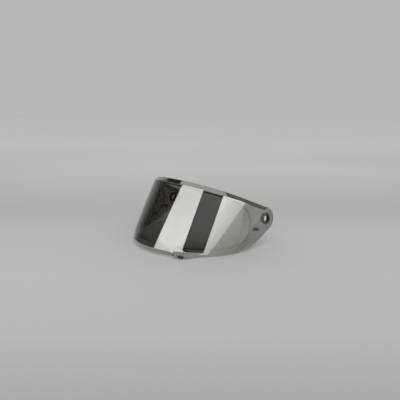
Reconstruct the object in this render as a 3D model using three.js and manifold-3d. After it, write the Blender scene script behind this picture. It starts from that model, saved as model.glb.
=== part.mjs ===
// Racing helmet visor: a mirrored polycarbonate sheet with an anti-fog insert, pivot bushes and a lock slider.
// Millimetres, +Z up. The front faces -Y and the wearer's left is +X.
// The visor stands as it rests on a table, on its thumb tab and on the low points of its two sides.
import * as THREE from 'three';
import { mergeVertices } from 'three/addons/utils/BufferGeometryUtils.js';
import Module from 'manifold-3d';

const wasm = await Module();
wasm.setup();

// General fits
const seatGap = 0.3; // between pieces that touch
const runningGap = 0.08; // radial, shaft in hole
const overrun = 1; // cutters pass the faces by this much
const probeStep = 0.05; // step for slopes of the sheet

// Sheet, measured along the outer face from the centre line; heights from a level line through the ears
const sheetThickness = 2.2;
const turnLength = 230; // arc over which the plan curve turns to its last angle
const earTurn = THREE.MathUtils.degToRad(86.2);
const turnPower = 1.58; // how early the plan curve turns
const sheetLean = Math.tan(THREE.MathUtils.degToRad(5));
const crownRadius = 3450; // slight bulge from top to bottom
const browHeight = 18.5;
const chinDrop = 101.4;
const pivotArc = 195.8;
const earRadius = 19;
const earRise = 0.8; // centre of the ear's round end above that line

// Edge outlines: [share of pivotArc, share of browHeight or chinDrop]
const browShares = [[0, 1], [0.3, 1.04], [0.55, 1.09], [0.78, 1.07]];
const chinShares = [[0, 1], [0.22, 0.969], [0.4, 0.913], [0.52, 0.848], [0.64, 0.786], [0.75, 0.7], [0.83, 0.621],
  [0.9, 0.519]];

// Brow lip
const lipHeight = 7.5;
const lipInset = 2.6;
const lipCreaseShare = 0.15; // how soft the crease is, as a share of the lip's height
const lipFade = 12;

// Thumb tab, on the wearer's left of the chin edge
const tabFront = 48.6;
const tabRiseLength = 10;
const tabPeakEnd = 72; // behind here its rim draws in to the plain chin edge
const tabTailLength = 17;
const tabEnd = 95;
const tabEndLength = 4;
const tabReach = 4.4;
const tabDrop = 6.4;
const tabFoldFront = 2.4; // the flare's fold lies this far above the plain chin edge, at its front and rear ends
const tabFoldRear = 4.8;
const tabFoldShare = 0.06; // how soft the fold is, as a share of the flare's full length

// Anti-fog insert and its bead
const insertThickness = 1;
const airGap = 1.8;
const insertTopDrop = 8; // from the brow edge down to the insert
const insertSill = 8.1; // from the chin edge up to the insert
const insertRoundStart = 105;
const insertEndRise = -24;
const insertTopPower = 2.6; // how square the insert's corners are
const insertFootPower = 3.6;
const insertNotchLand = 2; // the insert's end stops this far short of the pin's axis
const beadWidth = 1.6;
const beadInset = 0.6;
const beadEndInset = 12;

// Insert pins
const pinArc = 178.2;
const pinDrop = 22.3;
const pinShankRadius = 1.8;
const pinCollarRadius = 2.3;
const pinThrow = 0.5; // how far the collar is off centre
const pinFlangeRadius = 3.8;
const pinFlangeHeight = 1.1;
const pinTipHeight = 0.7; // shank left beyond the cap's floor
const capRadius = 3.1;
const capHeight = 1.6;
const capEdge = 0.5;
const slotWidth = 1.1;
const slotDepth = 0.4;
const washerThickness = 0.5;
const washerProud = 0.3; // the washer shows this much past the cap

// Pivot bushes
const bushInset = 1.5; // bush centre in front of the middle of the ear's round end, and level with it
const sleeveRadius = 8.2;
const sleeveWall = 2;
const pivotHoleRadius = 5.3;
const cupDepth = 3;
const pivotFloor = 1; // thickness of the cup's floor, which the pivot screw clamps
const socketRadius = 6.9; // inner side, for the boss of the helmet's pivot plate
const rimRadius = 9.5;
const rimHeight = 0.8;
const rimEdge = 0.35;
const gasketThickness = 0.6;
const gasketProud = 0.5;
const ringRadius = 9.8;
const ringThickness = 1.2;
const ringEdge = 0.4;
const barbReach = 0.5;
const barbHeight = 0.6;

// Lock slider in the tab's rim, its guide, spring and screws; drops are from the lock's own line
const sliderWidth = 7.6;
const sliderTravel = 3.2;
const sliderArc = 65.2; // middle of the slider at rest
const lockRise = 6; // the lock's own line lies this far above the plain chin edge
const notchDepth = 3.2; // up the tab from its rim
const padProud = 0.9;
const webThickness = 2.2;
const webGap = 0.5;
const carriageDrop = 0.6;
const carriageHeight = 4.6;
const carriageFront = 3.5; // depths behind the outer face
const carriageBack = 6.5;
const guideWall = 1.2;
const springRoom = 5;
const lugLength = 5.2;
const lugThickness = 1.5;
const bossHeight = 2.2;
const bossWall = 1.1;
const screwShankRadius = 0.9;
const screwHeadRadius = 1.8;
const screwHeadHeight = 1.1;
const screwSlotWidth = 0.5;
const screwTipGap = 0.4;
const springWire = 0.4;
const springRadius = 1.1;
const springTurns = 3;

// Counts of facets
const columnStep = 4.4;
const tabColumnStep = 1.6;
const roundSides = 36;
const smallSides = 24;
const springPathSteps = 8; // per turn
const springWireSteps = 12; // per turn
const pitchSteps = 60; // halvings in the search for the rest pitch

// Plan curve: running turn angle and position along the half arc, by the midpoint rule
const planSteps = 400;
const planStep = turnLength / planSteps;
const planPoints = [[0, 0]];
for (let i = 0; i < planSteps; i++) {
  const turn = planTurn((i + 1 / 2) * planStep);
  const [x, y] = planPoints[i];
  planPoints.push([x + Math.cos(turn) * planStep, y + Math.sin(turn) * planStep]);
}

function planTurn(arc) {
  return earTurn * (1 - Math.pow(Math.max(0, 1 - arc / turnLength), turnPower));
}

function planPoint(arc) {
  const at = Math.min(arc / planStep, planSteps - 1);
  const i = Math.floor(at);
  const part = arc / planStep - i;
  const [x0, y0] = planPoints[i];
  const [x1, y1] = planPoints[i + 1];
  return [x0 + (x1 - x0) * part, y0 + (y1 - y0) * part];
}

function smooth(value) {
  return THREE.MathUtils.smoothstep(value, 0, 1);
}

// A smooth curve through an outline's points, mirrored about the centre line
function edgeCurve(points) {
  const mirrored = points.slice(1).reverse().map((p) => new THREE.Vector2(-p.x, p.y));
  const line = new THREE.SplineCurve([...mirrored, ...points]).getPoints(planSteps);
  return (arc) => {
    let i = 1;
    while (i < line.length - 1 && line[i].x < arc) i++;
    const part = (arc - line[i - 1].x) / (line[i].x - line[i - 1].x);
    return line[i - 1].y + (line[i].y - line[i - 1].y) * part;
  };
}

function outlinePoints(shares, height) {
  return shares.map(([along, up]) => new THREE.Vector2(along * pivotArc, up * height));
}

// The brow edge meets the ear's round end at its top, the chin edge where their slopes agree
const sheetEnd = pivotArc + earRadius;
const chinJoinAngle = THREE.MathUtils.degToRad(-42);
const chinJoinArc = pivotArc + earRadius * Math.cos(chinJoinAngle);
const chinJoinRise = earRise + earRadius * Math.sin(chinJoinAngle);
const browJoin = new THREE.Vector2(pivotArc, earRise + earRadius);
const browLine = edgeCurve([...outlinePoints(browShares, browHeight), browJoin]);
const chinLine = edgeCurve([...outlinePoints(chinShares, -chinDrop), new THREE.Vector2(chinJoinArc, chinJoinRise)]);

function earArc(arc, sign) {
  const across = Math.min(arc - pivotArc, earRadius);
  return earRise + sign * Math.sqrt(Math.max(0, earRadius * earRadius - across * across));
}

function browEdge(s) {
  const arc = Math.abs(s);
  return arc > pivotArc ? earArc(arc, 1) : browLine(arc);
}

function plainChinEdge(s) {
  const arc = Math.abs(s);
  return arc > chinJoinArc ? earArc(arc, -1) : chinLine(arc);
}

function tabRise(s) {
  return smooth((s - tabFront) / tabRiseLength);
}

function tabShape(s) {
  return tabRise(s) * (1 - smooth((s - tabPeakEnd) / tabTailLength));
}

function chinEdge(s) {
  return plainChinEdge(s) - tabDrop * tabShape(s);
}

function lipBend(s, z) {
  const up = THREE.MathUtils.clamp((z - browEdge(s) + lipHeight) / lipHeight, 0, 1);
  const fade = 1 - smooth((Math.abs(s) - pivotArc + lipFade) / lipFade);
  const soft = lipCreaseShare;
  const bend = (Math.hypot(up, soft) - soft) / (Math.hypot(1, soft) - soft);
  return lipInset * bend * fade;
}

// The flare leans out at one angle below its fold, over the tab's whole length
function tabFold(s) {
  return THREE.MathUtils.mapLinear(THREE.MathUtils.clamp(s, tabFront, tabEnd), tabFront, tabEnd, tabFoldFront, tabFoldRear);
}

function tabBend(s, z) {
  const full = (tabFoldFront + tabFoldRear) / 2 + tabDrop;
  const soft = tabFoldShare * full;
  const down = Math.max(0, plainChinEdge(s) + tabFold(s) - z);
  const flare = tabRise(s) * (1 - smooth((s - tabEnd + tabEndLength) / tabEndLength));
  return tabReach * flare * (Math.hypot(down, soft) - soft) / (Math.hypot(full, soft) - soft);
}

// A point on the sheet's outer face
function facePoint(s, z) {
  const arc = Math.abs(s);
  const side = s < 0 ? -1 : 1;
  const back = sheetLean * z + z * z / (2 * crownRadius) + lipBend(s, z) - tabBend(s, z);
  const turn = planTurn(arc);
  const [x, y] = planPoint(arc);
  return new THREE.Vector3(side * (x - back * Math.sin(turn)), y + back * Math.cos(turn), z);
}

function faceNormal(s, z) {
  const along = facePoint(s + probeStep, z).sub(facePoint(s - probeStep, z));
  const up = facePoint(s, z + probeStep).sub(facePoint(s, z - probeStep));
  return along.cross(up).normalize();
}

function sheetPoint(s, z, depth) {
  return facePoint(s, z).addScaledVector(faceNormal(s, z), -depth);
}

// Closed geometry from points and triangles, with merged points and no empty triangles
function closedGeometry(points, triangles) {
  const raw = new THREE.BufferGeometry();
  raw.setAttribute('position', new THREE.Float32BufferAttribute(points.flatMap((p) => [p.x, p.y, p.z]), 3));
  raw.setIndex(triangles.flat());
  const merged = mergeVertices(raw);
  const index = merged.index.array;
  const kept = [];
  for (let i = 0; i < index.length; i += 3) {
    const [a, b, c] = [index[i], index[i + 1], index[i + 2]];
    if (a !== b && b !== c && c !== a) kept.push(a, b, c);
  }
  merged.setIndex(kept);
  return merged;
}

function toSolid(geometry) {
  const bare = geometry.clone();
  bare.deleteAttribute('normal');
  bare.deleteAttribute('uv');
  const merged = mergeVertices(bare);
  return new wasm.Manifold(new wasm.Mesh({
    numProp: 3,
    vertProperties: new Float32Array(merged.attributes.position.array),
    triVerts: new Uint32Array(merged.index.array),
  }));
}

function toGeometry(solid) {
  const mesh = solid.getMesh();
  const geometry = new THREE.BufferGeometry();
  geometry.setAttribute('position', new THREE.BufferAttribute(mesh.vertProperties, 3));
  geometry.setIndex(new THREE.BufferAttribute(mesh.triVerts, 1));
  geometry.computeVertexNormals();
  return geometry;
}

function cut(geometry, ...cutters) {
  return toGeometry(cutters.reduce((solid, cutter) => solid.subtract(toSolid(cutter)), toSolid(geometry)));
}

function join(geometry, ...others) {
  return toGeometry(others.reduce((solid, other) => solid.add(toSolid(other)), toSolid(geometry)));
}

// A curved sheet between two depths; riseAt gives the heights of a column's points, low to high
function curvedSheet(columns, riseAt, outerDepth, innerDepth) {
  const points = [];
  const rows = riseAt(0).length;
  for (const depth of [outerDepth, innerDepth]) {
    for (const s of columns) {
      for (const z of riseAt(s)) points.push(sheetPoint(s, z, depth));
    }
  }
  const at = (face, i, j) => (face * columns.length + i) * rows + j;
  const triangles = [];
  const quad = (a, b, c, d) => triangles.push([a, b, c], [a, c, d]);
  for (let i = 0; i < columns.length - 1; i++) {
    for (let j = 0; j < rows - 1; j++) {
      quad(at(0, i, j), at(0, i + 1, j), at(0, i + 1, j + 1), at(0, i, j + 1));
      quad(at(1, i, j), at(1, i, j + 1), at(1, i + 1, j + 1), at(1, i + 1, j));
    }
    quad(at(0, i, 0), at(1, i, 0), at(1, i + 1, 0), at(0, i + 1, 0));
    quad(at(0, i, rows - 1), at(0, i + 1, rows - 1), at(1, i + 1, rows - 1), at(1, i, rows - 1));
  }
  return closedGeometry(points, triangles);
}

// Stations along the half arc, evenly spread, then closing up towards a round end
function halfColumns(roundStart, end, step) {
  const plain = Math.ceil(roundStart / step);
  const list = [];
  for (let i = 0; i < plain; i++) list.push(roundStart * i / plain);
  const turns = Math.ceil((end - roundStart) * Math.PI / 2 / step) + 1;
  for (let i = 0; i <= turns; i++) list.push(roundStart + (end - roundStart) * Math.sin(Math.PI / 2 * i / turns));
  return list;
}

function bothSides(list) {
  return [...list.slice(1).reverse().map((s) => -s), ...list];
}

// Local frame on the sheet: X along the face, Y up the face, Z outwards
function seatAlong(object, s, z, along) {
  const out = faceNormal(s, z);
  const up = out.clone().cross(along).normalize();
  object.quaternion.setFromRotationMatrix(new THREE.Matrix4().makeBasis(up.clone().cross(out), up, out));
  object.position.copy(facePoint(s, z));
  object.updateMatrix();
  return object;
}

function placeOnSheet(object, s, z) {
  const up = facePoint(s, z + probeStep).sub(facePoint(s, z - probeStep));
  return seatAlong(object, s, z, up.cross(faceNormal(s, z)));
}

function onSheet(geometry, s, z) {
  return geometry.clone().applyMatrix4(placeOnSheet(new THREE.Object3D(), s, z).matrix);
}

// A turned piece about local Z; the profile is [radius, height] and closes on itself or on the axis
function turned(profile, sides = roundSides) {
  const points = profile.map(([radius, height]) => new THREE.Vector2(radius, height));
  return new THREE.LatheGeometry(points, sides).rotateX(Math.PI / 2);
}

function ring(inner, outer, low, high, edge = 0) {
  const profile = [[inner, low], [outer - edge, low]];
  if (edge > 0) profile.push([outer, low + edge], [outer, high - edge]);
  else profile.push([outer, high]);
  if (edge > 0) profile.push([outer - edge, high]);
  profile.push([inner, high], [inner, low]);
  return turned(profile);
}

function rod(radius, low, high, sides = smallSides) {
  return turned([[0, low], [radius, low], [radius, high], [0, high]], sides);
}

function block(width, height, depth, x, y, z) {
  return new THREE.BoxGeometry(width, height, depth).translate(x, y, z);
}

const visor = new THREE.Group();

function addPiece(name, geometry, look) {
  const mesh = new THREE.Mesh(geometry, new THREE.MeshStandardMaterial(look));
  mesh.name = name;
  visor.add(mesh);
  return mesh;
}

const mirrorLook = { color: '#8f908c', roughness: 0.06, metalness: 0.95 };
const clearLook = { color: '#6f6f6a', roughness: 0.1, metalness: 0 };
const beadLook = { color: '#585855', roughness: 0.45, metalness: 0 };
const nylonLook = { color: '#16171a', roughness: 0.5, metalness: 0 };
const pinLook = { color: '#3b3b3c', roughness: 0.4, metalness: 0 };
const rubberLook = { color: '#1d1d1e', roughness: 0.8, metalness: 0 };
const steelLook = { color: '#a9abad', roughness: 0.3, metalness: 0.9 };

// Depths behind the outer face
const beadFace = sheetThickness + seatGap;
const insertFace = sheetThickness + airGap;
const insertBack = insertFace + insertThickness;

// Lock parts share one local frame, on the lock's own line: X rearwards, Y up, Z out
const lineRise = plainChinEdge(sliderArc) + lockRise;
const sliderHalf = sliderWidth / 2;
const guideFront = -sliderHalf - springRoom;
const guideRear = sliderHalf + seatGap;
const guideTop = seatGap - carriageDrop;
const guideFoot = -carriageDrop - carriageHeight;
const screwPlaces = [guideFront - guideWall - lugLength / 2, guideRear + guideWall + lugLength / 2];
const screwDrop = carriageDrop + carriageHeight / 2;
const bossRadius = screwShankRadius + seatGap + bossWall;
const bossDepth = sheetThickness + bossHeight;
const lugDepth = bossDepth + seatGap;

// The lock's X follows the chin edge, so that the slider keeps its distance from the tab
function placeOnLine(object) {
  const line = (arc) => facePoint(arc, plainChinEdge(arc) + lockRise);
  return seatAlong(object, sliderArc, lineRise, line(sliderArc + probeStep).sub(line(sliderArc - probeStep)));
}

function onLock(geometry) {
  return geometry.clone().applyMatrix4(placeOnLine(new THREE.Object3D()).matrix);
}

// The tab's section at the slider, as [outwards, up] in the lock frame
const tabLength = lockRise + tabDrop;
const lockInverse = placeOnLine(new THREE.Object3D()).matrix.clone().invert();

function tabSection(down, depth) {
  const local = sheetPoint(sliderArc, lineRise - down, depth).applyMatrix4(lockInverse);
  return new THREE.Vector2(local.z, local.y);
}

// A bar along X with a section drawn as [outwards, up]
function bar(section, from, to) {
  const shape = new THREE.Shape(section.map((p) => new THREE.Vector2(p.x, p.y)));
  const solid = new THREE.ExtrudeGeometry(shape, { depth: to - from, bevelEnabled: false });
  return solid.rotateY(-Math.PI / 2).translate(to, 0, 0);
}

function point(out, up) {
  return new THREE.Vector2(out, up);
}

function sheetRises(s) {
  const low = chinEdge(s);
  const high = browEdge(s);
  const band = Math.min(1, (high - low) / (tabFoldRear + tabDrop + lipHeight) / 2);
  const fold = low + (tabFold(s) + tabDrop * tabShape(s)) * band;
  const crease = high - lipHeight * band;
  const lowRows = [0, 1 / 4, 1 / 2, 3 / 4].map((part) => low + (fold - low) * part);
  const midRows = [0, 1 / 4, 1 / 2, 3 / 4].map((part) => fold + (crease - fold) * part);
  const lipRows = [0, 1 / 3, 2 / 3, 1].map((part) => crease + (high - crease) * part);
  return [...lowRows, ...midRows, ...lipRows];
}

function shellColumns() {
  const half = halfColumns(pivotArc, sheetEnd, columnStep);
  const left = half.filter((s) => s < tabFront || s > tabEnd);
  const fine = [];
  const count = Math.round((tabEnd - tabFront) / tabColumnStep);
  for (let i = 0; i <= count; i++) fine.push(tabFront + (tabEnd - tabFront) * i / count);
  const clear = left.filter((s) => fine.every((f) => Math.abs(f - s) > tabColumnStep / 2));
  const right = half.slice(1).reverse().map((s) => -s);
  return [...right, ...[...clear, ...fine].sort((a, b) => a - b)];
}

function screwBoss(x) {
  return onLock(rod(bossRadius, -bossDepth, -sheetThickness / 2).translate(x, -screwDrop, 0));
}

function screwBore(x) {
  const floor = sheetThickness + screwTipGap;
  return onLock(rod(screwShankRadius + seatGap, -bossDepth - overrun, -floor).translate(x, -screwDrop, 0));
}

function sheetShell() {
  const plain = curvedSheet(shellColumns(), sheetRises, 0, sheetThickness);
  const pivotCut = rod(sleeveRadius + seatGap, -sheetThickness - overrun, overrun, roundSides);
  const pinCut = rod(pinShankRadius + runningGap, -sheetThickness - overrun, overrun);
  const holes = [-1, 1].flatMap((side) => [
    onSheet(pivotCut, side * (pivotArc - bushInset), earRise),
    onSheet(pinCut, side * pinArc, -pinDrop),
  ]);
  return cut(join(plain, ...screwPlaces.map(screwBoss)), ...screwPlaces.map(screwBore), ...holes, rimNotch());
}

// The notch in the tab's rim that the slider runs in
function rimNotch() {
  const top = tabLength - notchDepth;
  const downwards = tabSection(tabLength, 0).sub(tabSection(top, 0)).setLength(notchDepth + 2 * overrun);
  const outer = tabSection(top, -2 * padProud - overrun);
  const inner = tabSection(top, sheetThickness + overrun);
  const section = [outer, inner, inner.clone().add(downwards), outer.clone().add(downwards)];
  return onLock(bar(section, -sliderHalf - sliderTravel - seatGap, sliderHalf + seatGap));
}

// Outline of the insert: its heights run in to insertEndRise over its round ends
function insertSpan(s, end, inset) {
  const arc = Math.abs(s);
  const across = THREE.MathUtils.clamp((arc - insertRoundStart) / (end - insertRoundStart), 0, 1);
  const [foot, top] = [insertFootPower, insertTopPower].map((power) => {
    return Math.pow(1 - Math.pow(across, power), 1 / power);
  });
  const flat = Math.min(arc, insertRoundStart + (end - insertRoundStart) * 3 / 4);
  const high = browEdge(flat) - insertTopDrop - inset;
  const low = plainChinEdge(flat) + insertSill + inset;
  return [insertEndRise + (low - insertEndRise) * foot, insertEndRise + (high - insertEndRise) * top];
}

const insertEnd = pinArc - insertNotchLand;

function antifogInsert() {
  const rises = (s) => {
    const [low, high] = insertSpan(s, insertEnd, 0);
    return [0, 1 / 4, 1 / 2, 3 / 4, 1].map((part) => low + (high - low) * part);
  };
  const columns = bothSides(halfColumns(insertRoundStart, insertEnd, 2 * columnStep));
  const plain = curvedSheet(columns, rises, insertFace, insertBack);
  const notchRadius = pinCollarRadius + pinThrow + seatGap;
  const notch = rod(notchRadius, -insertBack - overrun, -insertFace + overrun);
  return cut(plain, onSheet(notch, pinArc, -pinDrop), onSheet(notch, -pinArc, -pinDrop));
}

// The bead: a flat ring that follows the insert's outline
function antifogBead() {
  const end = pinArc - beadEndInset;
  const stations = bothSides(halfColumns(insertRoundStart, end, 2 * columnStep));
  const topPath = stations.map((s) => [s, 1]);
  const lowPath = stations.slice(1, -1).reverse().map((s) => [s, 0]);
  const path = [...topPath, ...lowPath];
  const outer = path.map(([s, k]) => [s, insertSpan(s, end, beadInset)[k]]);
  const inner = path.map(([s, k]) => {
    const shrink = (end - beadWidth) / end;
    return [s * shrink, insertSpan(s * shrink, end - beadWidth, beadInset + beadWidth)[k]];
  });
  const depths = [beadFace, insertFace - seatGap];
  const points = outer.flatMap((place, i) => [
    sheetPoint(...place, depths[0]), sheetPoint(...place, depths[1]),
    sheetPoint(...inner[i], depths[1]), sheetPoint(...inner[i], depths[0]),
  ]);
  const triangles = [];
  for (let i = 0; i < path.length; i++) {
    const next = (i + 1) % path.length;
    for (let k = 0; k < 4; k++) {
      const [a, b] = [4 * i + k, 4 * i + (k + 1) % 4];
      const [c, d] = [4 * next + (k + 1) % 4, 4 * next + k];
      triangles.push([a, c, b], [a, d, c]);
    }
  }
  return toGeometry(toSolid(closedGeometry(points, triangles)));
}

// Pivot bush: a cup outside the ear, a socket inside it, a floor between them, and a barb that holds the ring
const rimLow = gasketThickness + 2 * seatGap;
const rimHigh = rimLow + rimHeight;
const ringLow = -sheetThickness - seatGap - ringThickness;
const sleeveEnd = ringLow - seatGap - barbHeight;

function pivotBush() {
  const cupRadius = sleeveRadius - sleeveWall;
  const cupFloor = rimHigh - cupDepth;
  return turned([
    [socketRadius, sleeveEnd],
    [sleeveRadius, sleeveEnd],
    [sleeveRadius + barbReach, ringLow - seatGap],
    [sleeveRadius, ringLow - seatGap],
    [sleeveRadius, rimLow],
    [rimRadius, rimLow],
    [rimRadius, rimHigh - rimEdge],
    [rimRadius - rimEdge, rimHigh],
    [cupRadius + rimEdge, rimHigh],
    [cupRadius, rimHigh - rimEdge],
    [cupRadius, cupFloor],
    [pivotHoleRadius, cupFloor],
    [pivotHoleRadius, cupFloor - pivotFloor],
    [socketRadius, cupFloor - pivotFloor],
    [socketRadius, sleeveEnd],
  ]);
}

// Insert pin: an off-centre collar and a flange inside, a shank through the sheet, a slotted cap outside
const collarTop = -sheetThickness - seatGap;
const collarLow = -insertBack - seatGap;
const capLow = washerThickness + 2 * seatGap;
const capHigh = capLow + capHeight;
const shankTop = capLow + pinTipHeight;

function insertPin(side) {
  const shank = rod(pinShankRadius, collarLow - pinFlangeHeight / 2, shankTop);
  const collar = rod(pinCollarRadius, collarLow - pinFlangeHeight / 2, collarTop).translate(side * pinThrow, 0, 0);
  const flange = rod(pinFlangeRadius, collarLow - pinFlangeHeight, collarLow, roundSides);
  return join(flange, collar, shank);
}

function pinCap() {
  const bore = pinShankRadius + seatGap;
  const floor = shankTop + seatGap;
  const shape = turned([
    [bore, capLow],
    [capRadius, capLow],
    [capRadius, capHigh - capEdge],
    [capRadius - capEdge, capHigh],
    [0, capHigh],
    [0, floor],
    [bore, floor],
    [bore, capLow],
  ], smallSides);
  const slot = block(3 * capRadius, slotWidth, slotDepth + overrun, 0, 0, capHigh - slotDepth / 2 + overrun / 2);
  return cut(shape, slot);
}

// Lock slider: a pad in the rim notch, a web behind the tab and a carriage in the guide
function lockSlider() {
  const webFace = sheetThickness + webGap;
  const notchTop = tabLength - notchDepth + seatGap;
  const padFoot = tabLength - seatGap;
  const section = [
    point(-carriageBack, -carriageDrop),
    point(-carriageBack, guideFoot),
    tabSection(lockRise, webFace + webThickness),
    tabSection(notchTop, webFace + webThickness / 2),
    tabSection(padFoot, sheetThickness - seatGap),
    tabSection(padFoot, -padProud),
    tabSection(notchTop, -padProud),
    tabSection(notchTop, webFace),
    tabSection(lockRise, webFace),
    point(-carriageFront, guideFoot + seatGap),
    point(-carriageFront, -carriageDrop),
  ];
  return bar(section, -sliderHalf, sliderHalf);
}

// Guide: a channel behind the sheet with an end wall and a screwed lug at each end
function lockGuide() {
  const wallDepth = carriageBack + seatGap;
  const back = wallDepth + guideWall;
  const lip = sheetThickness + 2 * seatGap;
  const high = guideTop + guideWall;
  const channel = bar([
    point(-back, guideFoot),
    point(-wallDepth, guideFoot),
    point(-wallDepth, guideTop),
    point(-lip, guideTop),
    point(-lip, high),
    point(-back, high),
  ], guideFront - guideWall / 2, guideRear + guideWall / 2);
  const near = -lip - seatGap;
  const wall = [point(-back, guideFoot), point(near, guideFoot), point(near, high), point(-back, high)];
  const lug = [-lugDepth - lugThickness, -lugDepth];
  const lugSection = [point(lug[0], guideFoot), point(lug[1], guideFoot), point(lug[1], guideTop), point(lug[0], guideTop)];
  const solid = join(
    channel,
    bar(wall, guideFront - guideWall, guideFront),
    bar(wall, guideRear, guideRear + guideWall),
    bar(lugSection, guideFront - guideWall - lugLength, guideFront - guideWall / 2),
    bar(lugSection, guideRear + guideWall / 2, guideRear + guideWall + lugLength),
  );
  const holes = screwPlaces.map((x) => {
    return rod(screwShankRadius + seatGap, lug[0] - overrun, lug[1] + overrun).translate(x, -screwDrop, 0);
  });
  return cut(solid, ...holes);
}

function guideScrew() {
  const seat = -lugDepth - lugThickness - seatGap;
  const tip = -sheetThickness - 2 * screwTipGap;
  const shape = turned([
    [0, seat - screwHeadHeight],
    [screwHeadRadius, seat - screwHeadHeight],
    [screwHeadRadius, seat],
    [screwShankRadius, seat],
    [screwShankRadius, tip],
    [0, tip],
  ], smallSides);
  const low = seat - screwHeadHeight;
  return cut(shape, block(3 * screwHeadRadius, screwSlotWidth, screwHeadHeight, 0, 0, low));
}

// Return spring between the slider and the guide's front wall
function lockSpring() {
  const length = springRoom - 2 * seatGap - springWire;
  const start = -sliderHalf - seatGap - springWire / 2;
  const depth = (carriageFront + carriageBack) / 2;
  const places = [];
  const steps = springTurns * springPathSteps;
  for (let i = 0; i <= steps; i++) {
    const angle = 2 * Math.PI * i / springPathSteps;
    const x = start - length * i / steps;
    const [y, z] = [springRadius * Math.cos(angle), springRadius * Math.sin(angle)];
    places.push(new THREE.Vector3(x, y - screwDrop, z - depth));
  }
  const wire = new THREE.Shape().absarc(0, 0, springWire / 2, 0, 2 * Math.PI);
  const path = new THREE.CatmullRomCurve3(places);
  return new THREE.ExtrudeGeometry(wire, { steps: springTurns * springWireSteps, curveSegments: 3, extrudePath: path });
}

// Rest pitch: the visor tips until its tab and its two sides touch one plane
function restPitch(geometry) {
  const place = geometry.attributes.position;
  const split = planPoint(insertRoundStart)[1];
  const lowest = (pitch, front) => {
    let low = Infinity;
    for (let i = 0; i < place.count; i++) {
      const [y, z] = [place.getY(i), place.getZ(i)];
      if (y < split !== front) continue;
      low = Math.min(low, y * Math.sin(pitch) + z * Math.cos(pitch));
    }
    return low;
  };
  let [a, b] = [-Math.PI / 3, 0];
  for (let i = 0; i < pitchSteps; i++) {
    const middle = (a + b) / 2;
    if (lowest(middle, true) > lowest(middle, false)) a = middle;
    else b = middle;
  }
  return (a + b) / 2;
}

const shellGeometry = sheetShell();
addPiece('visor_shell', shellGeometry, mirrorLook);
addPiece('antifog_insert', antifogInsert(), clearLook);
addPiece('antifog_bead', antifogBead(), beadLook);

for (const [name, side] of [['left', 1], ['right', -1]]) {
  const pivotAt = (mesh) => placeOnSheet(mesh, side * (pivotArc - bushInset), earRise);
  pivotAt(addPiece(`pivot_bush_${name}`, pivotBush(), nylonLook));
  const hole = sleeveRadius + seatGap;
  const gasket = ring(hole, rimRadius + gasketProud, seatGap, seatGap + gasketThickness);
  pivotAt(addPiece(`pivot_gasket_${name}`, gasket, rubberLook));
  const backRing = ring(hole, ringRadius, ringLow, ringLow + ringThickness, ringEdge);
  pivotAt(addPiece(`pivot_ring_${name}`, backRing, nylonLook));
  const pinAt = (mesh) => placeOnSheet(mesh, side * pinArc, -pinDrop);
  pinAt(addPiece(`insert_pin_${name}`, insertPin(side), pinLook));
  pinAt(addPiece(`pin_cap_${name}`, pinCap(), pinLook));
  const washer = ring(pinShankRadius + seatGap, capRadius + washerProud, seatGap, seatGap + washerThickness);
  pinAt(addPiece(`pin_washer_${name}`, washer, rubberLook));
}

placeOnLine(addPiece('lock_slider', lockSlider(), nylonLook));
placeOnLine(addPiece('lock_guide', lockGuide(), nylonLook));
placeOnLine(addPiece('lock_spring', lockSpring(), steelLook));
for (const [i, name] of ['front', 'rear'].entries()) {
  const screw = guideScrew().translate(screwPlaces[i], -screwDrop, 0);
  placeOnLine(addPiece(`guide_screw_${name}`, screw, steelLook));
}

// Stand the visor on its tab and sides, centred over its box
visor.rotation.x = restPitch(shellGeometry);
visor.updateMatrixWorld(true);
const box = new THREE.Box3().setFromObject(visor, true);
const middle = box.getCenter(new THREE.Vector3());
visor.position.set(-middle.x, -middle.y, -box.min.z);

const model = new THREE.Group();
model.add(visor);
model.updateMatrixWorld(true);

export default model;
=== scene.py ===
import math

import bpy
import numpy as np
from mathutils import Matrix, Vector
from mathutils.kdtree import KDTree


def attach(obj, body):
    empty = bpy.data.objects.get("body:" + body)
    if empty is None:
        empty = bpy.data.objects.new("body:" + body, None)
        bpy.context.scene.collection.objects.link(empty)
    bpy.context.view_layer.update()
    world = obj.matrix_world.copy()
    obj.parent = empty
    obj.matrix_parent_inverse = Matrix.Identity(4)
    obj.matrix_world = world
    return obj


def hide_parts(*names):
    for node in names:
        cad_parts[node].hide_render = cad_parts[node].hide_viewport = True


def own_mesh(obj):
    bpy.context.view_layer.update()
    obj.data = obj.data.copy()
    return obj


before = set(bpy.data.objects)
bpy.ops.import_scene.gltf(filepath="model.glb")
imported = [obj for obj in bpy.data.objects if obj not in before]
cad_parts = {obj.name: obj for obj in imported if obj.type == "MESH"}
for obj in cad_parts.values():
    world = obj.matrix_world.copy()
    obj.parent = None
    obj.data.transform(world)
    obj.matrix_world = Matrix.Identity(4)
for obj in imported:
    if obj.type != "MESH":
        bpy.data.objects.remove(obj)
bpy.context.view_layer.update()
print("frame loaded:", len(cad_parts), "nodes")

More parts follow.
